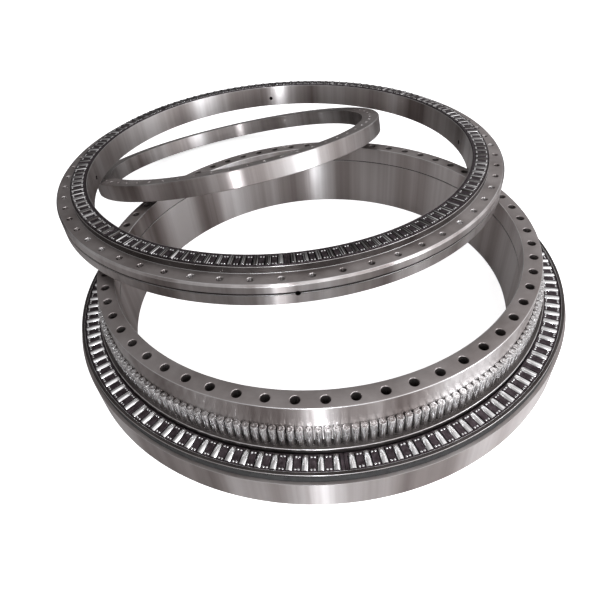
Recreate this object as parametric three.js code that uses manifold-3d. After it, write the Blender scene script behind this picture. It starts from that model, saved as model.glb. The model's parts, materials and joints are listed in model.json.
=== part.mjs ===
// Three-row roller slewing ring bearing, taken apart and stacked: millimetres, +Z up, floor at z = 0.
//
// The support ring lies flat on the floor with its radial and axial roller rows in place. The outer ring
// lies on it, pushed back, and carries the second axial row on its collar. The retaining ring leans
// underneath the outer ring, with its far edge on the floor.
import * as THREE from 'three';
import { mergeVertices } from 'three/addons/utils/BufferGeometryUtils.js';
import Module from 'manifold-3d';

const wasm = await Module();
wasm.setup();

// ---------------------------------------------------------------- driving dimensions

const boltHoles = 60;
const ringSteps = 60; // one facet for each bolt hole
const holeSides = 6;
const runningGap = 0.5; // between a roller row and the raceway it stands on
const segmentGap = 1.5; // between two neighbouring cage segments, along the row

// Support ring: radii from its axis, heights from the floor.
const support = {
  bore: 883,
  boltCircle: 922.5,
  boltHole: 34,
  hubWall: 957,
  shoulder: 997,
  rimInner: 1067,
  sealWall: 1074,
  rimOuter: 1080,
  flange: 1093,
  height: 346,
  shoulderHeight: 180,
  rimHeight: 166,
  raceHeight: 138,
  sealTop: 160,
  flangeHeight: 129,
  registerHeight: 263, // a narrow groove round the bore
  registerWidth: 6,
  registerDepth: 3,
  oilHole: 8, // one blind hole in the register groove
  oilHoleDepth: 15,
  oilHoleAngle: 87.6, // degrees round the ring's axis
};

// Outer ring: heights from its bolt face.
const outer = {
  bore: 984,
  innerRim: 987.5,
  outerRim: 1063.5,
  collar: 1066.5,
  boltCircle: 1102,
  boltHole: 25,
  outside: 1141,
  chamfer: 9,
  raceHeight: 11,
  rimHeight: 30,
  depth: 93,
  grooveTop: 38,
  grooveBottom: 50,
  grooveDepth: 4,
  greaseHoles: 4,
  greaseHole: 22,
  greaseHoleDepth: 46,
  greaseHoleAngle: -88.5, // of the first one, in degrees round the ring's axis
};

// Retaining ring: heights from its upper face.
const retaining = {
  bore: 784,
  boltCircle: 834,
  boltHole: 18,
  outside: 884,
  thickness: 88,
  chamfer: 5,
};

// Roller rows. Each solid is the envelope of one cage segment with its rollers.
const rollerDiameter = 26;
const supportRow = { segments: 8, arcSteps: 10, inner: 999.5, outer: 1065 };
const retainingRow = { segments: 8, arcSteps: 10, inner: 989.5, outer: 1061.5 };
const radialRow = { segments: 12, arcSteps: 6, inner: 958.5, outer: 984, rollerLength: 75 };

const seal = { inner: 1074.5, outer: 1082, bottom: 130, top: 159 };

// Where the three groups lie. A lean is a turn about the level axis (x, y, 0), in radians.
const supportCentre = new THREE.Vector3(86.5, -454, 0);
const outerFromSupport = new THREE.Vector3(-124.2, 649, 450.3);
const retainingFromSupport = new THREE.Vector3(-382.9, 1145.6, 321.1);
const outerLean = new THREE.Vector2(-0.017, 0.0145);
const retainingLean = new THREE.Vector2(-0.25, -0.1065);

// How far each ring is turned about its own axis, in degrees.
const supportTurn = 201.4;
const outerTurn = 178.6;
const retainingTurn = 224.1;

// ---------------------------------------------------------------- materials

const steel = (color, roughness) => new THREE.MeshStandardMaterial({ color, roughness, metalness: 1 });
const groundSteel = steel(0x8c8785, 0.35);
const turnedSteel = steel(0x9a9694, 0.3);
const rollerSteel = steel(0xbfbcbc, 0.22);
const sealRubber = new THREE.MeshStandardMaterial({ color: 0x3b3a3c, roughness: 0.7, metalness: 0 });

// ---------------------------------------------------------------- geometry helpers

// A ring turned from a closed outline of [radius, height] points, given with the outer wall going up.
// Its facets are centred on the bolt holes, which lie at whole steps from the X axis.
function turnedRing(outline) {
  const points = [...outline, outline[0]].map(([radius, height]) => new THREE.Vector2(radius, height));
  const halfStep = Math.PI / ringSteps;
  return new THREE.LatheGeometry(points, ringSteps, halfStep).rotateX(Math.PI / 2);
}

// A closed solid for cutting, from a geometry whose shared vertices aren't merged yet.
function toSolid(geometry) {
  const bare = geometry.clone();
  bare.deleteAttribute('normal');
  bare.deleteAttribute('uv');
  const merged = mergeVertices(bare);
  const vertProperties = new Float32Array(merged.attributes.position.array);
  const triVerts = new Uint32Array(merged.index.array);
  return new wasm.Manifold(new wasm.Mesh({ numProp: 3, vertProperties, triVerts }));
}

function toGeometry(solid) {
  const { vertProperties, triVerts } = solid.getMesh();
  const geometry = new THREE.BufferGeometry();
  geometry.setAttribute('position', new THREE.BufferAttribute(vertProperties, 3));
  geometry.setIndex(new THREE.BufferAttribute(triVerts, 1));
  geometry.computeVertexNormals();
  return geometry;
}

// A pin along Z through the heights from bottom to top, with a little to spare at each end.
function boltPin(radius, bottom, top) {
  const spare = 2;
  const pin = new THREE.CylinderGeometry(radius, radius, top - bottom + 2 * spare, holeSides);
  return pin.rotateX(Math.PI / 2).translate(0, 0, (top + bottom) / 2);
}

// The ring with a circle of bolt holes drilled through it.
function drilled(ring, { boltCircle, boltHole, bottom, top }) {
  let solid = toSolid(ring);
  for (let hole = 0; hole < boltHoles; hole += 1) {
    const pin = boltPin(boltHole / 2, bottom, top);
    pin.translate(boltCircle, 0, 0).rotateZ((hole * 2 * Math.PI) / boltHoles);
    solid = solid.subtract(toSolid(pin));
  }
  return solid;
}

// A pin lying along a radius of a ring, between two distances from its axis.
function radialPin(diameter, from, to, height, degrees) {
  const pin = new THREE.CylinderGeometry(diameter / 2, diameter / 2, to - from, holeSides);
  pin.rotateZ(Math.PI / 2).translate((from + to) / 2, 0, height);
  return toSolid(pin.rotateZ(THREE.MathUtils.degToRad(degrees)));
}

// A flat arc of a ring between two radii and two heights.
function arcSegment({ inner, outer: outside, bottom, top, start, sweep, arcSteps }) {
  const outline = new THREE.Shape();
  outline.absarc(0, 0, outside, start, start + sweep, false);
  outline.absarc(0, 0, inner, start + sweep, start, true);
  outline.closePath();
  const options = { depth: top - bottom, bevelEnabled: false, curveSegments: arcSteps / 2 };
  return new THREE.ExtrudeGeometry(outline, options).translate(0, 0, bottom);
}

function named(name, geometry, material) {
  const mesh = new THREE.Mesh(geometry, material);
  mesh.name = name;
  return mesh;
}

// One mesh for each segment of a roller row, with a small gap between neighbours.
function rollerRow(name, row, bottom, top) {
  const pitch = (2 * Math.PI) / row.segments;
  const gap = segmentGap / row.inner;
  const digits = String(row.segments).length;
  const meshes = [];
  for (let index = 0; index < row.segments; index += 1) {
    const start = index * pitch + gap / 2;
    const segment = arcSegment({ ...row, bottom, top, start, sweep: pitch - gap });
    const label = String(index + 1).padStart(digits, '0');
    meshes.push(named(`${name}_${label}`, segment, rollerSteel));
  }
  return meshes;
}

// A group whose origin is at a point, leaning by a turn about a level axis.
function leaningGroup(position, lean) {
  const group = new THREE.Group();
  group.position.copy(position);
  const axis = new THREE.Vector3(lean.x, lean.y, 0).normalize();
  group.quaternion.setFromAxisAngle(axis, lean.length());
  return group;
}

// ---------------------------------------------------------------- the pieces

// L-section: a tall bolted hub, a shoulder for the radial row, and a flange with the lower raceway.
function supportRing() {
  const s = support;
  const outline = [
    [s.bore, 0],
    [s.flange, 0],
    [s.flange, s.flangeHeight],
    [s.sealWall, s.flangeHeight],
    [s.sealWall, s.sealTop],
    [s.rimOuter, s.sealTop],
    [s.rimOuter, s.rimHeight],
    [s.rimInner, s.rimHeight],
    [s.rimInner, s.raceHeight],
    [s.shoulder, s.raceHeight],
    [s.shoulder, s.shoulderHeight],
    [s.hubWall, s.shoulderHeight],
    [s.hubWall, s.height],
    [s.bore, s.height],
    [s.bore, s.registerHeight + s.registerWidth / 2],
    [s.bore + s.registerDepth, s.registerHeight + s.registerWidth / 2],
    [s.bore + s.registerDepth, s.registerHeight - s.registerWidth / 2],
    [s.bore, s.registerHeight - s.registerWidth / 2],
  ];
  const solid = drilled(turnedRing(outline), { ...s, bottom: 0, top: s.height });
  const spare = 20;
  const oilAngle = s.oilHoleAngle - supportTurn;
  const oilPin = radialPin(s.oilHole, s.bore - spare, s.bore + s.oilHoleDepth, s.registerHeight, oilAngle);
  const mesh = named('support_ring', toGeometry(solid.subtract(oilPin)), groundSteel);
  mesh.rotation.z = THREE.MathUtils.degToRad(supportTurn);
  return mesh;
}

// Lip seal lying in the outer groove under the support ring's rim.
function supportSeal() {
  const outline = [
    [seal.inner, seal.bottom],
    [seal.outer, seal.bottom],
    [seal.outer, seal.top],
    [seal.inner, seal.top],
  ];
  const mesh = named('support_seal', turnedRing(outline), sealRubber);
  mesh.rotation.z = THREE.MathUtils.degToRad(supportTurn);
  return mesh;
}

// Bolted outer ring: a raised collar round the bore carries the upper axial row between two rims.
function outerRing() {
  const o = outer;
  const outline = [
    [o.bore, -o.depth],
    [o.outside, -o.depth],
    [o.outside, -o.grooveBottom],
    [o.outside - o.grooveDepth, -o.grooveBottom],
    [o.outside - o.grooveDepth, -o.grooveTop],
    [o.outside, -o.grooveTop],
    [o.outside, -o.chamfer],
    [o.outside - o.chamfer, 0],
    [o.collar, 0],
    [o.collar, o.rimHeight],
    [o.outerRim, o.rimHeight],
    [o.outerRim, o.raceHeight],
    [o.innerRim, o.raceHeight],
    [o.innerRim, o.rimHeight],
    [o.bore, o.rimHeight],
  ];
  let solid = drilled(turnedRing(outline), { ...o, bottom: -o.depth, top: 0 });
  const spare = 20;
  for (let hole = 0; hole < o.greaseHoles; hole += 1) {
    const degrees = o.greaseHoleAngle - outerTurn + (hole * 360) / o.greaseHoles;
    const pin = radialPin(o.greaseHole, o.bore - spare, o.outside + spare, -o.greaseHoleDepth, degrees);
    solid = solid.subtract(pin);
  }
  const mesh = named('outer_ring', toGeometry(solid), turnedSteel);
  mesh.rotation.z = THREE.MathUtils.degToRad(outerTurn);
  return mesh;
}

// Plain drilled ring with its outer edges broken.
function retainingRing() {
  const r = retaining;
  const outline = [
    [r.bore, -r.thickness],
    [r.outside - r.chamfer, -r.thickness],
    [r.outside, r.chamfer - r.thickness],
    [r.outside, -r.chamfer],
    [r.outside - r.chamfer, 0],
    [r.bore, 0],
  ];
  const solid = drilled(turnedRing(outline), { ...r, bottom: -r.thickness, top: 0 });
  const mesh = named('retaining_ring', toGeometry(solid), groundSteel);
  mesh.rotation.z = THREE.MathUtils.degToRad(retainingTurn);
  return mesh;
}

// ---------------------------------------------------------------- the stack

function supportGroup() {
  const group = new THREE.Group();
  group.position.copy(supportCentre);
  group.add(supportRing(), supportSeal());
  const race = support.raceHeight + runningGap;
  group.add(...rollerRow('support_row', supportRow, race, race + rollerDiameter));
  const shelf = support.shoulderHeight + runningGap;
  group.add(...rollerRow('radial_row', radialRow, shelf, shelf + radialRow.rollerLength));
  return group;
}

function outerGroup() {
  const group = leaningGroup(supportCentre.clone().add(outerFromSupport), outerLean);
  const race = outer.raceHeight + runningGap;
  group.add(outerRing());
  group.add(...rollerRow('retaining_row', retainingRow, race, race + rollerDiameter));
  return group;
}

function retainingGroup() {
  const group = leaningGroup(supportCentre.clone().add(retainingFromSupport), retainingLean);
  group.add(retainingRing());
  return group;
}

const group = new THREE.Group();
group.add(supportGroup(), outerGroup(), retainingGroup());

export default group;
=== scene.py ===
"""Slewing ring bearing, taken apart and stacked: its looks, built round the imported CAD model.

Metres, +Z up."""

import json
import math

import bpy
import numpy as np
from mathutils import Matrix, Vector


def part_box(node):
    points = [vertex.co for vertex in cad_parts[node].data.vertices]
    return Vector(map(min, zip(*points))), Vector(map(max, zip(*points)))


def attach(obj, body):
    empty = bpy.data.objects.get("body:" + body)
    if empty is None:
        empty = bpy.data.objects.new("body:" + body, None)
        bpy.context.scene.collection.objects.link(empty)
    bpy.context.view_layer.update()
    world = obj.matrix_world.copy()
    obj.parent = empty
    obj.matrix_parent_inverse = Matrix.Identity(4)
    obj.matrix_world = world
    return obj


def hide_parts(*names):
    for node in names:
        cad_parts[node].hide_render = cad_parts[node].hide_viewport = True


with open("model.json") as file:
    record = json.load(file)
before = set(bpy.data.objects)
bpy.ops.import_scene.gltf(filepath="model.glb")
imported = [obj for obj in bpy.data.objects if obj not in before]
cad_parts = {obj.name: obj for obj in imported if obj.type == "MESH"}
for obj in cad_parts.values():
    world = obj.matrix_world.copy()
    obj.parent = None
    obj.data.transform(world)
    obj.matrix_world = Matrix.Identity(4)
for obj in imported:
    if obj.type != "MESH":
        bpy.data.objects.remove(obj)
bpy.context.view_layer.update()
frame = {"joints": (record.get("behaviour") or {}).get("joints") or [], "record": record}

# ---------------------------------------------------------------- driving sizes, in metres

MM = 0.001
RING_STEPS = 480  # facets round a ring, a whole number for each bolt hole
BOLT_HOLES = 60
HOLE_SIDES = 32
ROLLER_SIDES = 24
RIVET_SIDES = 10
SHARP_ANGLE = math.radians(35)  # a steeper edge than this isn't shaded smooth
COOL_LIGHT = (0.93, 0.96, 1.0)
LONG_CHAMFER = 4 * MM  # a sloping face longer than this is finished like a wall, not like a broken edge
INSIDE_BOX = 0.7 * MM  # the smooth rings stay this far inside the faceted CAD rings' corners

BOLT_CIRCLE = 0.9225  # the support ring's, which the camera's place is given in
SUPPORT_HEIGHT = 0.346
SUPPORT_TURN = math.radians(201.4)
OUTER_TURN = math.radians(178.6)
RETAINING_TURN = math.radians(224.1)
RETAINING_THICKNESS = 0.088

# Surface kinds, which number a ring's materials. The fourth is a dark steel that paints shade in grooves,
# recesses, on the shoulder and in hole walls.
FACE, WALL, EDGE, PAINTED_SHADE = range(4)

# Closed outlines, as (radius, height, rounding) in millimetres, with the outer wall going up. A fourth
# value is the surface kind of the side that starts at that corner, where its slope alone doesn't say.
SUPPORT_OUTLINE = [
    (883, 0, 2),
    (1093, 0, 2),
    (1093, 129, 3),
    (1074, 129, 1, PAINTED_SHADE),
    (1074, 160, 1),
    (1080, 160, 1, PAINTED_SHADE),
    (1080, 166, 1.5, PAINTED_SHADE),
    (1067, 166, 1.5),
    (1067, 138, 1),
    (997, 138, 1, PAINTED_SHADE),
    (997, 180, 2.5, PAINTED_SHADE),
    (957, 180, 1),
    (957, 346, 4.5),
    (883, 346, 3),
    (883, 266, 0.8),
    (886, 266, 0.8, PAINTED_SHADE),
    (886, 260, 0.8),
    (883, 260, 0.8),
]
OUTER_OUTLINE = [
    (984, -93, 2),
    (1141, -93, 2),
    (1141, -50, 1.5),
    (1137, -50, 0.8, PAINTED_SHADE),
    (1137, -38, 0.8),
    (1141, -38, 1.5),
    (1141, -9, 1.5),
    (1132, 0, 1.5),
    (1066.5, 0, 1, PAINTED_SHADE),
    (1066.5, 30, 2),
    (1063.5, 30, 0.8),
    (1063.5, 11, 0.8),
    (987.5, 11, 0.8),
    (987.5, 30, 0.8),
    (984, 30, 1.2),
]
RETAINING_OUTLINE = [
    (784, -88, 2),
    (879, -88, 1),
    (884, -83, 1),
    (884, -5, 1),
    (879, 0, 1),
    (784, 0, 2),
]
SEAL_OUTLINE = [
    (1074.6, 130.3, 0.5),
    (1081.6, 130.3, 1),
    (1081.6, 136, 1.5),
    (1078.2, 141, 1.5),
    (1081, 147, 1.5),
    (1078.2, 152, 1.5),
    (1080.4, 158.6, 1),
    (1074.6, 158.6, 0.5),
]
SUPPORT_DRILL = {"circle": 922.5, "radius": 17, "flare": 1.5, "wall": FACE}
OUTER_DRILL = {"circle": 1102, "radius": 12.5, "flare": 2, "wall": WALL}
RETAINING_DRILL = {"circle": 834, "radius": 9, "flare": 1.5, "wall": WALL}

# Radial holes: four grease holes right through the outer ring, and a short one in the support ring's bore.
# Angles are in degrees round the ring's axis, distances from it and heights in millimetres.
GREASE_HOLE = {"from": 960, "to": 1165, "height": -46, "radius": 11}
GREASE_HOLES = [{**GREASE_HOLE, "angle": -88.5 + 90 * index} for index in range(4)]
OIL_HOLES = [{"angle": 87.6, "from": 870, "to": 898, "height": 263, "radius": 4}]

SUPPORT = {
    "outline": SUPPORT_OUTLINE,
    "drill": SUPPORT_DRILL,
    "turn": SUPPORT_TURN,
    "radial_holes": OIL_HOLES,
}
OUTER = {
    "outline": OUTER_OUTLINE,
    "drill": OUTER_DRILL,
    "turn": OUTER_TURN,
    "radial_holes": GREASE_HOLES,
}
RETAINING = {
    "outline": RETAINING_OUTLINE,
    "drill": RETAINING_DRILL,
    "turn": RETAINING_TURN,
    "radial_holes": [],
}

# Axial rows: rollers lie along the radius in the pockets of a cage. Radii in millimetres, and the height of
# the raceway that they roll on.
SUPPORT_ROW = {
    "segments": 8,
    "rollers": 16,
    "cage": (999.8, 1064.8),
    "roller": (1004.5, 1060.5),
    "race": 138,
}
RETAINING_ROW = {
    "segments": 8,
    "rollers": 17,
    "cage": (989.8, 1061.2),
    "roller": (1000.5, 1056.5),
    "race": 11,
}
ROLLER_RADIUS = 13
ROLLER_LIFT = 0.2  # clear of the raceway
POCKET_GAP = 0.5  # round each roller
CAGE_HEIGHTS = (4.5, 22)
SEGMENT_GAP = 1.5
RIVET_INSET = 5.5  # from the pocket's ends, and to either side of the bar between two pockets

# Radial row: upright rollers side by side against the hub wall, in millimetres.
RADIAL_ROW = {
    "segments": 12,
    "rollers": 17,
    "circle": 970.4,
    "radius": 12.8,
    "bottom": 180.3,
    "top": 255.3,
}


# ---------------------------------------------------------------- mesh helpers


def eased(corners):
    """The closed outline in metres, with each corner rounded off by a short curve of three steps."""
    points = []
    count = len(corners)
    for index, (radius, height, rounding) in enumerate(corner[:3] for corner in corners):
        corner = np.array([radius, height], float)
        before = np.array(corners[index - 1][:2], float) - corner
        after = np.array(corners[(index + 1) % count][:2], float) - corner
        reach = min(rounding, 0.45 * np.linalg.norm(before), 0.45 * np.linalg.norm(after))
        start = corner + before / np.linalg.norm(before) * reach
        end = corner + after / np.linalg.norm(after) * reach
        for step in (0, 1 / 3, 2 / 3, 1):
            points.append((1 - step) ** 2 * start + 2 * step * (1 - step) * corner + step**2 * end)
    return np.array(points) * MM


def turned(outline):
    """Vertices of a closed outline spun about Z, one whole outline after another."""
    angles = np.arange(RING_STEPS) * 2 * math.pi / RING_STEPS
    radius = outline[:, 0]
    verts = np.stack(
        [
            np.outer(np.cos(angles), radius),
            np.outer(np.sin(angles), radius),
            np.outer(np.ones(RING_STEPS), outline[:, 1]),
        ],
        axis=-1,
    )
    return verts.reshape(-1, 3)


def web(rim, hole):
    """Triangles that fill the flat space between a rim and the hole inside it, as indices into the rim's
    points followed by the hole's. Both are anticlockwise loops round the hole's centre."""

    def by_angle(loop):
        angle = np.arctan2(loop[:, 1], loop[:, 0])
        order = np.argsort(angle)
        return np.append(order, order[0]), np.append(angle[order], math.inf)

    rim_order, rim_angle = by_angle(rim)
    hole_order, hole_angle = by_angle(hole)
    hole_order = hole_order + len(rim)
    triangles = []
    at_rim, at_hole = 0, 0
    while at_rim < len(rim) or at_hole < len(hole):
        rim_point, hole_point = rim_order[at_rim], hole_order[at_hole]
        rim_is_left = at_rim < len(rim)
        hole_is_done = at_hole == len(hole)
        if hole_is_done or (rim_is_left and rim_angle[at_rim + 1] <= hole_angle[at_hole + 1]):
            at_rim += 1
            triangles.append((rim_point, rim_order[at_rim], hole_point))
        else:
            at_hole += 1
            triangles.append((rim_point, hole_order[at_hole], hole_point))
    return triangles


def ring_mesh(corners, drill=None):
    """A turned ring, drilled with a circle of flared bolt holes: vertices, faces, and each face's kind."""
    outline = eased(corners)
    outline[:, 0] = np.minimum(outline[:, 0], outline[:, 0].max() - INSIDE_BOX)
    verts = [turned(outline)]
    faces, kinds = [], []
    size = len(outline)
    drilled = {}
    for index in range(size):
        after = (index + 1) % size
        run, rise = outline[after] - outline[index]
        kind = FACE if abs(rise) < 0.2 * abs(run) else WALL if abs(run) < 0.2 * abs(rise) else EDGE
        if kind == EDGE and math.hypot(run, rise) > LONG_CHAMFER:
            kind = WALL
        corner, step = divmod(index, 4)
        if step == 3 and len(corners[corner]) == 4:
            kind = corners[corner][3]
        radii = sorted((outline[index, 0], outline[after, 0]))
        if drill and kind == FACE and radii[0] < drill["circle"] * MM < radii[1]:
            drilled[run > 0] = (index, after)
            continue
        for step in range(RING_STEPS):
            here, there = step * size, (step + 1) % RING_STEPS * size
            faces.append((here + index, there + index, there + after, here + after))
            kinds.append(kind)
    if drill:
        add_holes(verts, faces, kinds, outline, drilled, drill)
    return np.concatenate(verts), faces, kinds


def add_holes(verts, faces, kinds, outline, drilled, drill):
    """The two flat faces round the bolt holes, and the holes' walls."""
    circle, radius, flare = drill["circle"] * MM, drill["radius"] * MM, drill["flare"] * MM
    top, bottom = outline[drilled[False][0], 1], outline[drilled[True][0], 1]
    span = RING_STEPS // BOLT_HOLES
    steps = np.arange(-(span // 2), span // 2 + 1)
    turn = np.arange(HOLE_SIDES) * 2 * math.pi / HOLE_SIDES
    unit = np.stack([np.cos(turn), np.sin(turn)], axis=-1)
    mouth = radius + flare
    levels = [(mouth, top), (radius, top - flare), (radius, bottom + flare), (mouth, bottom)]
    rims = {}
    for below in (False, True):
        inner, outside = sorted(drilled[below], key=lambda index: outline[index, 0])
        ids = [(step, outside) for step in steps] + [(step, inner) for step in steps[::-1]]
        angles = np.array([step for step, _ in ids]) * 2 * math.pi / RING_STEPS
        radii = np.array([outline[index, 0] for _, index in ids])
        rim = np.stack([radii * np.cos(angles) - circle, radii * np.sin(angles)], axis=-1)
        rims[below] = (ids, web(rim, unit * mouth))
    base = RING_STEPS * len(outline)
    for hole in range(BOLT_HOLES):
        angle = hole * 2 * math.pi / BOLT_HOLES
        spin = np.array([[math.cos(angle), math.sin(angle)], [-math.sin(angle), math.cos(angle)]])
        starts = []
        for reach, height in levels:
            flat = (unit * reach + [circle, 0]) @ spin
            verts.append(np.column_stack([flat, np.full(HOLE_SIDES, height)]))
            starts.append(base)
            base += HOLE_SIDES
        for level in range(3):
            for side in range(HOLE_SIDES):
                after = (side + 1) % HOLE_SIDES
                upper, lower = starts[level], starts[level + 1]
                faces.append((upper + side, upper + after, lower + after, lower + side))
                kinds.append(drill["wall"])
        for below in (False, True):
            ids, triangles = rims[below]
            edge = [(step + hole * span) % RING_STEPS * len(outline) + index for step, index in ids]
            loop = edge + [starts[3 if below else 0] + side for side in range(HOLE_SIDES)]
            for triangle in triangles:
                corners = [loop[index] for index in triangle]
                faces.append(tuple(corners[::-1] if below else corners))
                kinds.append(FACE)


def round_bar(profile, sides):
    """A solid turned about +X from (distance along it, radius) pairs that start and end on the axis."""
    turn = np.arange(sides) * 2 * math.pi / sides
    verts = [np.array([[profile[0][0], 0, 0]])]
    for along, radius in profile[1:-1]:
        ring = np.stack([np.full(sides, along), radius * np.cos(turn), radius * np.sin(turn)], axis=-1)
        verts.append(ring)
    verts.append(np.array([[profile[-1][0], 0, 0]]))
    rings = len(profile) - 2
    last = 1 + rings * sides
    faces = []
    for side in range(sides):
        after = (side + 1) % sides
        faces.append((0, 1 + after, 1 + side))
        faces.append((last, last - sides + side, last - sides + after))
        for ring in range(rings - 1):
            here = 1 + ring * sides
            faces.append((here + side, here + after, here + sides + after, here + sides + side))
    return np.concatenate(verts), faces


def roller(length, radius):
    """One roller along +X, with eased ends and a shallow centre mark in each."""
    ease = 1.2
    mark = 0.28 * radius
    half = [(0.9, 0), (0.9, mark * 0.6), (0, mark), (0, radius - ease), (0.35 * ease, radius - 0.3 * ease)]
    half.append((ease, radius))
    profile = half + [(length - along, reach) for along, reach in reversed(half)]
    return round_bar([(along * MM, reach * MM) for along, reach in profile], ROLLER_SIDES)


def rivet():
    """A rivet's head, standing up from the XY plane."""
    profile = [(0, 0), (0, 3.9), (0.9, 3.3), (1.5, 1.8), (1.7, 0)]
    return stood_up(round_bar([(along * MM, radius * MM) for along, radius in profile], RIVET_SIDES))


def stood_up(shape):
    """A shape that lies along +X, stood up along +Z."""
    verts, faces = shape
    return verts[:, [2, 1, 0]] * [-1, 1, 1], faces


def lifted(shape, height):
    verts, faces = shape
    return verts + [0, 0, height], faces


def polar_copies(shape, angles, radius, offsets=((0, 0),)):
    """Copies of a shape, moved out along X by radius plus each (radial, sideways) offset, then turned about
    Z to each of the angles."""
    verts, faces = shape
    all_verts, all_faces = [], []
    for angle in angles:
        turn = np.array(Matrix.Rotation(angle, 3, "Z"))
        for radial, sideways in offsets:
            start = len(all_verts) * len(verts)
            all_verts.append((verts + [radius + radial, sideways, 0]) @ turn.T)
            all_faces.extend(tuple(index + start for index in face) for face in faces)
    return np.concatenate(all_verts), all_faces


def pocket_plate(radii, angles, filled, bottom, top):
    """A flat plate on a polar grid, with walls wherever a filled cell meets an empty one."""
    columns, rows = len(angles), len(radii)
    x = np.outer(np.cos(angles), radii)
    y = np.outer(np.sin(angles), radii)
    levels = [np.stack([x, y, np.full_like(x, height)], axis=-1).reshape(-1, 3) for height in (bottom, top)]
    upper = columns * rows
    faces = []

    def is_filled(column, row):
        return 0 <= column < columns - 1 and 0 <= row < rows - 1 and filled(column, row)

    for column in range(columns - 1):
        for row in range(rows - 1):
            if not is_filled(column, row):
                continue
            near, far = column * rows + row, (column + 1) * rows + row
            corners = (near, near + 1, far + 1, far)
            faces.append(tuple(index + upper for index in corners))
            faces.append(corners[::-1])
            neighbours = [(column - 1, row), (column, row + 1), (column + 1, row), (column, row - 1)]
            for side, neighbour in enumerate(neighbours):
                if not is_filled(*neighbour):
                    a, b = corners[side], corners[(side + 1) % 4]
                    faces.append((a, b, b + upper, a + upper))
    verts = np.concatenate(levels)
    used = sorted({index for face in faces for index in face})
    renumber = {old: new for new, old in enumerate(used)}
    return verts[used], [tuple(renumber[index] for index in face) for face in faces]


def solid_mesh(name, shape, place, materials=(), kinds=None):
    """A mesh whose vertices are put where they belong in the frame, with its materials."""
    verts, faces = shape
    moved = verts @ np.array(place.to_3x3()).T + np.array(place.translation)
    mesh = bpy.data.meshes.new(name)
    mesh.from_pydata(moved.tolist(), [], faces)
    for material in materials:
        mesh.materials.append(material)
    if kinds is not None:
        mesh.polygons.foreach_set("material_index", kinds)
    return mesh


def bored(mesh, place, holes, name):
    """The mesh with radial holes cut in it, their walls in the dark steel that paints shade inside the
    holes.
    """
    piece = bpy.data.objects.new(name, mesh)
    bpy.context.scene.collection.objects.link(piece)
    cutters = []
    for hole in holes:
        start, end, radius = hole["from"] * MM, hole["to"] * MM, hole["radius"] * MM
        profile = [(start, 0), (start, radius), (end, radius), (end, 0)]
        verts, faces = round_bar(profile, HOLE_SIDES)
        spin = Matrix.Rotation(math.radians(hole["angle"]), 4, "Z")
        at = place @ Matrix.Translation((0, 0, hole["height"] * MM)) @ spin
        cutter_mesh = solid_mesh(f"{name}_cutter", (verts, faces), at, mesh.materials, [PAINTED_SHADE] * len(faces))
        cutter = bpy.data.objects.new(f"{name}_cutter", cutter_mesh)
        bpy.context.scene.collection.objects.link(cutter)
        cutters.append(cutter)
        cut = piece.modifiers.new("radial_hole", "BOOLEAN")
        cut.object = cutter
        cut.operation = "DIFFERENCE"
        cut.solver = "MANIFOLD"
    evaluated = piece.evaluated_get(bpy.context.evaluated_depsgraph_get())
    result = bpy.data.meshes.new_from_object(evaluated)
    for extra in (piece, *cutters):
        used = extra.data
        bpy.data.objects.remove(extra)
        bpy.data.meshes.remove(used)
    result.name = name
    return result


def add_piece(name, mesh, body, replaces=()):
    """A new piece made of a mesh that is already in its place, riding on a CAD body."""
    mesh.polygons.foreach_set("use_smooth", [True] * len(mesh.polygons))
    mesh.set_sharp_from_angle(angle=SHARP_ANGLE)
    piece = bpy.data.objects.new(name, mesh)
    bpy.context.scene.collection.objects.link(piece)
    bpy.context.view_layer.update()
    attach(piece, body)
    if replaces:
        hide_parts(*replaces)
    return piece


# ---------------------------------------------------------------- materials


class Nodes:
    """Short ways to add and join nodes in one node tree."""

    def __init__(self, tree):
        self.tree = tree

    def add(self, kind, inputs=None, **settings):
        node = self.tree.nodes.new(kind)
        for name, value in settings.items():
            setattr(node, name, value)
        for name, value in (inputs or {}).items():
            self.join(value, node.inputs[name])
        return node

    def join(self, value, socket):
        if isinstance(value, bpy.types.NodeSocket):
            self.tree.links.new(value, socket)
        else:
            socket.default_value = value

    def math(self, operation, first, second=0.0, third=0.0):
        inputs = {0: first, 1: second, 2: third}
        return self.add("ShaderNodeMath", inputs, operation=operation).outputs["Value"]

    def split(self, vector):
        """The vector's X, Y and Z."""
        return self.add("ShaderNodeSeparateXYZ", {"Vector": vector}).outputs

    def fade(self, value, between, low=0.0, high=1.0):
        """From low to high while the value goes from one bound to the other."""
        start, end = between
        inputs = {"Value": value, "From Min": start, "From Max": end, "To Min": low, "To Max": high}
        return self.add("ShaderNodeMapRange", inputs).outputs["Result"]

    def ray_is(self, kind):
        return self.add("ShaderNodeLightPath").outputs[f"Is {kind} Ray"]


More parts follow.
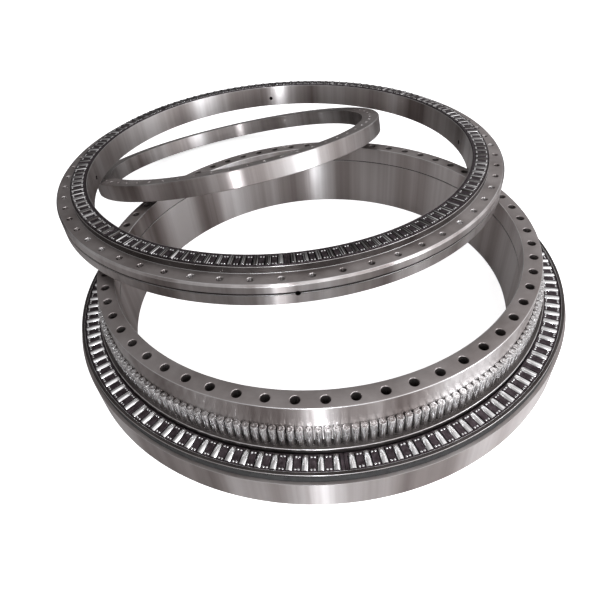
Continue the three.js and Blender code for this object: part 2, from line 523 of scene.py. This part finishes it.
class NodeMaterial(Nodes):
    """A material with a Principled surface. With a ring's place, its coordinates have Z along that ring's
    axis, from its centre."""

    def __init__(self, name, place=None):
        self.material = bpy.data.materials.new(name)
        self.material.use_nodes = True
        super().__init__(self.material.node_tree)
        self.surface = self.tree.nodes["Principled BSDF"]
        self.local = self.add("ShaderNodeTexCoord").outputs["Object"]
        if place:
            inputs = {"Vector": self.local, "Location": place.translation, "Rotation": place.to_euler()}
            self.local = self.add("ShaderNodeMapping", inputs, vector_type="TEXTURE").outputs["Vector"]

    def set(self, **inputs):
        for name, value in inputs.items():
            self.join(value, self.surface.inputs[name.replace("_", " ")])

    def stretched(self, scale):
        """The ring's coordinates, stretched by a scale along each axis."""
        return self.add("ShaderNodeMapping", {"Vector": self.local, "Scale": scale}).outputs["Vector"]

    def radius(self):
        """Distance from the ring's axis."""
        flat = self.stretched((1, 1, 0))
        return self.add("ShaderNodeVectorMath", {0: flat}, operation="LENGTH").outputs["Value"]

    def noise(self, vector, scale, detail, roughness):
        inputs = {"Vector": vector, "Scale": scale, "Detail": detail, "Roughness": roughness}
        return self.add("ShaderNodeTexNoise", inputs).outputs["Fac"]

    def ramp(self, value, stops):
        node = self.add("ShaderNodeValToRGB", {"Fac": value})
        elements = node.color_ramp.elements
        while len(elements) < len(stops):
            elements.new(1)
        for element, (position, color) in zip(elements, stops):
            element.position = position
            element.color = (*color, 1)
        return node.outputs["Color"]

    def mix(self, factor, first, second, blend="MIX"):
        node = self.add("ShaderNodeMix", data_type="RGBA", blend_type=blend)
        sockets = [socket for socket in node.inputs if socket.type == "RGBA"]
        self.join(factor, node.inputs["Factor"])
        self.join(first, sockets[0])
        self.join(second, sockets[1])
        return next(socket for socket in node.outputs if socket.type == "RGBA")

    def bump(self, height, strength, distance):
        inputs = {"Height": height, "Strength": strength, "Distance": distance}
        self.set(Normal=self.add("ShaderNodeBump", inputs).outputs["Normal"])


def grey(level, warmth=0.0):
    """A neutral colour, warmer where warmth is above nought."""
    return (level * (1 + warmth), level * (1 - 0.25 * warmth), level * (1 - 0.6 * warmth))


def face_steel(name, place, dark, light):
    """Flat turned faces: satin, brownish, with fine rings round the axis and a few larger stains."""
    made = NodeMaterial(name, place)
    stains = made.noise(made.stretched((1, 1, 1)), 5, 4, 0.6)
    rings = made.add("ShaderNodeCombineXYZ", {"X": made.radius()}).outputs["Vector"]
    grain = made.noise(rings, 900, 2, 0.7)
    color = made.ramp(stains, [(0.3, dark), (0.7, light)])
    shade = made.ramp(grain, [(0.35, grey(0.8)), (0.65, grey(1.0))])
    made.set(Base_Color=made.mix(1.0, color, shade, "MULTIPLY"), Metallic=1.0)
    made.set(Roughness=made.math("MULTIPLY_ADD", stains, 0.2, 0.34))
    made.bump(grain, 0.15, 0.0004)
    return made.material


def wall_steel(name, place, stops):
    """Ground walls: satin, with soft streaks up and down that come and go round the ring: painted
    reflections of the surroundings, put in the base colour. The grinding marks run round the ring, so
    highlights are drawn out along its axis."""
    made = NodeMaterial(name, place)
    wide = made.noise(made.stretched((1, 1, 0.02)), 3.2, 3, 0.55)
    fine = made.noise(made.stretched((1, 1, 0.01)), 57.6, 3, 0.6)
    streaks = made.math("MULTIPLY_ADD", fine, 0.1, made.math("SUBTRACT", wide, 0.05))
    grain = made.noise(made.stretched((0.02, 0.02, 1)), 700, 2, 0.6)
    made.set(Base_Color=made.ramp(streaks, stops), Metallic=1.0)
    made.set(Roughness=made.math("MULTIPLY_ADD", fine, 0.08, 0.27))
    made.surface.inputs["Anisotropic"].default_value = 1.0
    axis = dict(zip("XYZ", place.to_3x3() @ Vector((0, 0, 1))))
    made.set(Tangent=made.add("ShaderNodeCombineXYZ", axis).outputs["Vector"])
    made.bump(grain, 0.12, 0.0003)
    return made.material


def plain_steel(name, dark, light, rough, scale):
    """Small bright or dark steel pieces, mottled from one to the next."""
    made = NodeMaterial(name)
    mottle = made.noise(made.local, scale, 3, 0.5)
    made.set(Base_Color=made.ramp(mottle, [(0.3, dark), (0.7, light)]), Metallic=1.0)
    made.set(Roughness=made.math("MULTIPLY_ADD", mottle, 0.12, rough))
    return made.material


def streaked_steel(name, place, stops, rough, upright):
    """Polished rollers with fine streaks along them, partly polishing marks and partly painted reflection
    lines. They stand upright, or lie pointing at the axis.
    """
    made = NodeMaterial(name, place)
    if upright:
        across = made.stretched((1, 1, 0.02))
    else:
        spot = made.split(made.local)
        angle = made.math("ARCTAN2", spot["Y"], spot["X"])
        across = made.add("ShaderNodeCombineXYZ", {"X": angle, "Z": spot["Z"]}).outputs["Vector"]
    streaks = made.noise(across, 260, 2, 0.6)
    made.set(Base_Color=made.ramp(streaks, stops), Metallic=1.0)
    made.set(Roughness=made.math("MULTIPLY_ADD", streaks, 0.15, rough))
    return made.material


def rubber():
    made = NodeMaterial("seal_rubber")
    mottle = made.noise(made.local, 40, 4, 0.6)
    made.set(Base_Color=made.ramp(mottle, [(0.3, grey(0.01)), (0.7, grey(0.03))]))
    made.set(Roughness=made.math("MULTIPLY_ADD", mottle, 0.25, 0.55))
    made.bump(mottle, 0.2, 0.0006)
    return made.material


def floor_paint():
    """Near white to look at, but darker and warmer where the steel mirrors it, most so at the back."""
    made = NodeMaterial("floor_paint")
    mottle = made.noise(made.local, 2, 2, 0.5)
    pale = made.ramp(mottle, [(0.2, grey(0.9)), (0.8, grey(0.92))])
    spot = made.split(made.local)
    from_left = made.fade(spot["X"], (-1.5, 1.5))
    by_depth = made.fade(spot["Y"], (0.2, 1.6), 1.0, 0.2)
    mirrored = made.ramp(from_left, [(0.0, grey(0.26, 0.05)), (1.0, grey(0.62, 0.03))])
    mirrored = made.mix(1.0, mirrored, by_depth, "MULTIPLY")
    made.set(Base_Color=made.mix(made.ray_is("Glossy"), pale, mirrored), Roughness=0.9)
    glow = made.math("MULTIPLY", made.ray_is("Camera"), 0.75)
    made.set(Emission_Color=(1, 1, 1, 1), Emission_Strength=glow)
    return made.material


# ---------------------------------------------------------------- the pieces


def leaning(centre, normal):
    """A place whose origin is at centre and whose Z axis is normal, leant over by the least turn."""
    lean = Vector((0, 0, 1)).rotation_difference(Vector(normal))
    return Matrix.Translation(centre) @ lean.to_matrix().to_4x4()


def middle(node):
    low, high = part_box(node)
    return (Vector(low) + Vector(high)) / 2


def segment_nodes(name, row):
    digits = len(str(row["segments"]))
    return [f"{name}_{index + 1:0{digits}d}" for index in range(row["segments"])]


def build_ring(name, ring, place, body, materials):
    verts, faces, kinds = ring_mesh(ring["outline"], ring["drill"])
    turned_place = place @ Matrix.Rotation(ring["turn"], 4, "Z")
    mesh = solid_mesh(f"{name}_turned", (verts, faces), turned_place, materials, kinds)
    if ring["radial_holes"]:
        mesh = bored(mesh, place, ring["radial_holes"], f"{name}_turned")
    return add_piece(f"{name}_turned", mesh, body, [name])


def cage_plate(row, first, pitch):
    """One cage segment with its pockets, starting at the angle first."""
    start, end = row["roller"]
    middle_radius = (start + end) / 2
    pocket = (ROLLER_RADIUS + POCKET_GAP) / middle_radius
    gap = SEGMENT_GAP / middle_radius / 2
    radii = [row["cage"][0], start - POCKET_GAP, end + POCKET_GAP, row["cage"][1]]
    edges = [first + gap]
    for index in range(row["rollers"]):
        centre = first + (index + 0.5) * pitch
        edges += [centre - pocket, centre + pocket]
    edges.append(first + row["rollers"] * pitch - gap)
    bottom, top = CAGE_HEIGHTS
    return pocket_plate(
        np.array(radii) * MM,
        np.array(edges),
        lambda column, level: level != 1 or column % 2 == 0,
        bottom * MM,
        top * MM,
    )


def ease_edges(piece):
    bevel = piece.modifiers.new("eased_edges", "BEVEL")
    bevel.width = 0.8 * MM
    bevel.segments = 2
    bevel.limit_method = "ANGLE"
    bevel.angle_limit = math.radians(50)


def build_axial_row(name, row, place, body, cage_steel, roller_steel, rivet_steel):
    """Cage segments with their pockets and rivets, and the rollers in them."""
    start, end = row["roller"]
    one_roller = lifted(roller(end - start, ROLLER_RADIUS), (ROLLER_RADIUS + ROLLER_LIFT) * MM)
    one_rivet = lifted(rivet(), CAGE_HEIGHTS[1] * MM)
    rivet_spots = []
    for radial in (start + RIVET_INSET, end - RIVET_INSET):
        for sideways in (-RIVET_INSET, RIVET_INSET):
            rivet_spots.append((radial * MM, sideways * MM))
    raceway = place @ Matrix.Translation((0, 0, row["race"] * MM))
    pitch = 2 * math.pi / (row["segments"] * row["rollers"])
    for segment, node in enumerate(segment_nodes(name, row)):
        first = segment * row["rollers"] * pitch
        centres = [first + (index + 0.5) * pitch for index in range(row["rollers"])]
        bars = [first + index * pitch for index in range(1, row["rollers"])]
        mesh = solid_mesh(f"{node}_cage", cage_plate(row, first, pitch), raceway, [cage_steel])
        ease_edges(add_piece(f"{node}_cage", mesh, body, [node]))
        rollers = polar_copies(one_roller, centres, start * MM)
        mesh = solid_mesh(f"{node}_rollers", rollers, raceway, [roller_steel])
        add_piece(f"{node}_rollers", mesh, body)
        rivets = polar_copies(one_rivet, bars, 0, rivet_spots)
        mesh = solid_mesh(f"{node}_rivets", rivets, raceway, [rivet_steel])
        add_piece(f"{node}_rivets", mesh, body)


def build_radial_row(row, place, roller_steel):
    """Upright rollers, seventeen to a segment."""
    one_roller = lifted(stood_up(roller(row["top"] - row["bottom"], row["radius"])), row["bottom"] * MM)
    pitch = 2 * math.pi / (row["segments"] * row["rollers"])
    for segment, node in enumerate(segment_nodes("radial_row", row)):
        centres = [(segment * row["rollers"] + index + 0.5) * pitch for index in range(row["rollers"])]
        rollers = polar_copies(one_roller, centres, row["circle"] * MM)
        mesh = solid_mesh(f"{node}_rollers", rollers, place, [roller_steel])
        add_piece(f"{node}_rollers", mesh, "radial_row", [node])


def ring_steels(name, place, face_level):
    """A ring's face, wall and broken-edge steels, and the dark steel that paints shade in its grooves,
    recesses and hole walls, as their surface kinds number them.
    """
    face = face_steel(f"{name}_face", place, grey(face_level, 0.1), grey(face_level * 1.7, 0.06))
    # The walls' streak colours, dark to light, which paint reflections of the surroundings.
    stops = [(0.34, grey(0.17, 0.14)), (0.48, grey(0.4, 0.07)), (0.64, grey(0.74, 0.02))]
    wall = wall_steel(f"{name}_wall", place, stops)
    # Edge steel, brighter: partly the polished broken edges and partly a painted highlight along each
    # rounded edge.
    edge = plain_steel(f"{name}_edge", grey(0.5), grey(0.7), 0.25, 8)
    # The dark steel: painted shade for the ring's grooves, recesses, shoulder and hole walls.
    dark_steel = face_steel(f"{name}_oily", place, grey(0.045, 0.12), grey(0.11, 0.08))
    return [face, wall, edge, dark_steel]


def build_bearing():
    """Every piece of the bearing. Gives back the support ring's middle, which its axis goes through."""
    cage_steel = plain_steel("cage_steel", (0.045, 0.035, 0.039), (0.11, 0.09, 0.1), 0.32, 60)
    rivet_steel = plain_steel("rivet_steel", grey(0.5), grey(0.8), 0.2, 60)

    support_middle = middle("support_ring")
    support = Matrix.Translation((support_middle.x, support_middle.y, 0))
    steels = ring_steels("support", support, 0.27)
    build_ring("support_ring", SUPPORT, support, "support", steels)
    seal_verts, seal_faces, _ = ring_mesh(SEAL_OUTLINE)
    seal = solid_mesh("support_seal_lip", (seal_verts, seal_faces), support, [rubber()])
    add_piece("support_seal_lip", seal, "support", ["support_seal"])
    # The lying rollers' streak colours, dark to light: the light streaks paint reflection lines along the
    # polished rollers.
    bright_stops = [(0.36, grey(0.5)), (0.64, grey(0.98))]
    lying = streaked_steel("support_roller_steel", support, bright_stops, 0.18, False)
    build_axial_row("support_row", SUPPORT_ROW, support, "support_row", cage_steel, lying, rivet_steel)
    # The upright rollers' streak colours: the light streaks paint reflection lines along them.
    standing_stops = [(0.38, grey(0.4, 0.02)), (0.62, grey(0.98))]
    upright = streaked_steel("radial_roller_steel", support, standing_stops, 0.2, True)
    build_radial_row(RADIAL_ROW, support, upright)

    slew = next(joint for joint in frame["joints"] if joint["name"] == "outer_ring_slew")
    outer = leaning(slew["pos_m"], slew["axis"])
    steels = ring_steels("outer", outer, 0.29)
    build_ring("outer_ring", OUTER, outer, "outer", steels)
    # The retaining row's rollers: mostly dark, with thin light streaks that paint reflection lines.
    dark_stops = [(0.5, grey(0.05, 0.1)), (0.62, grey(0.7))]
    dark_steel = streaked_steel("retaining_roller_steel", outer, dark_stops, 0.1, False)
    build_axial_row("retaining_row", RETAINING_ROW, outer, "retaining_row", cage_steel, dark_steel, rivet_steel)

    mounts = {mount["name"]: mount for mount in frame["record"]["mounts"]}
    normal = Vector(mounts["retaining_upper_face"]["axis"])
    centre = middle("retaining_ring") + normal * RETAINING_THICKNESS / 2
    retaining = leaning(centre, normal)
    steels = ring_steels("retaining", retaining, 0.24)
    build_ring("retaining_ring", RETAINING, retaining, "retaining", steels)
    return support_middle


# ---------------------------------------------------------------- floor, light and camera


def build_floor():
    mesh = bpy.data.meshes.new("floor")
    reach = 60
    corners = [(-reach, -reach, 0), (reach, -reach, 0), (reach, reach, 0), (-reach, reach, 0)]
    mesh.from_pydata(corners, [], [(0, 1, 2, 3)])
    mesh.materials.append(floor_paint())
    floor = bpy.data.objects.new("floor", mesh)
    bpy.context.scene.collection.objects.link(floor)


def build_world():
    """Soft studio surroundings, brighter to the right, darker behind the bearing, and white to look at."""
    world = bpy.data.worlds.new("studio")
    bpy.context.scene.world = world
    world.use_nodes = True
    made = Nodes(world.node_tree)
    direction = made.split(made.add("ShaderNodeTexCoord").outputs["Generated"])
    by_side = made.fade(direction["X"], (-0.6, 0.6), 0.4, 1.4)
    by_depth = made.fade(direction["Y"], (-0.2, 0.9), 1.2, 0.25)
    strength = made.math("MAXIMUM", made.math("MULTIPLY", by_side, by_depth), made.ray_is("Camera"))
    background = world.node_tree.nodes["Background"]
    made.join((1.0, 0.98, 0.99, 1), background.inputs["Color"])
    made.join(strength, background.inputs["Strength"])


def build_light(name, place, target, size, power):
    """A rectangular lamp, its longer side upright, facing a target."""
    data = bpy.data.lights.new(name, "AREA")
    data.shape = "RECTANGLE"
    data.size, data.size_y = size
    data.energy = power
    data.color = COOL_LIGHT
    light = bpy.data.objects.new(name, data)
    light.location = place
    light.rotation_euler = (target - place).to_track_quat("-Z", "Y").to_euler()
    bpy.context.scene.collection.objects.link(light)


def build_camera(ring_middle):
    """Looks along +Y and down onto the support ring's near side, leaning a little to one side."""
    elevation = math.radians(41.49)
    roll = math.radians(-5.72)
    distance = 2.082 * BOLT_CIRCLE
    aside, nearer = 0.098 * BOLT_CIRCLE, 0.480 * BOLT_CIRCLE
    target = Vector((ring_middle.x - aside, ring_middle.y - nearer, SUPPORT_HEIGHT))
    forward = Vector((0, math.cos(elevation), -math.sin(elevation)))
    upright = Vector((0, math.sin(elevation), math.cos(elevation)))
    right = Vector((1, 0, 0)) * math.cos(roll) + upright * math.sin(roll)
    up = right.cross(forward)
    data = bpy.data.cameras.new("camera")
    data.sensor_width = 36
    data.lens = 29.94
    data.clip_end = 200
    camera = bpy.data.objects.new("camera", data)
    rotation = Matrix((right, up, -forward)).transposed().to_4x4()
    camera.matrix_world = Matrix.Translation(target - forward * distance) @ rotation
    bpy.context.scene.collection.objects.link(camera)
    bpy.context.scene.camera = camera


ring_middle = build_bearing()
build_floor()
build_world()
lit = Vector((ring_middle.x, ring_middle.y, 0.2))
build_light("key", lit + Vector((-0.5, -5, 1.8)), lit, (0.2, 3.2), 120)
build_light("side", lit + Vector((4.6, -2.8, 2.4)), lit, (1.6, 3), 90)
build_camera(ring_middle)
bpy.context.scene.view_settings.view_transform = "Standard"
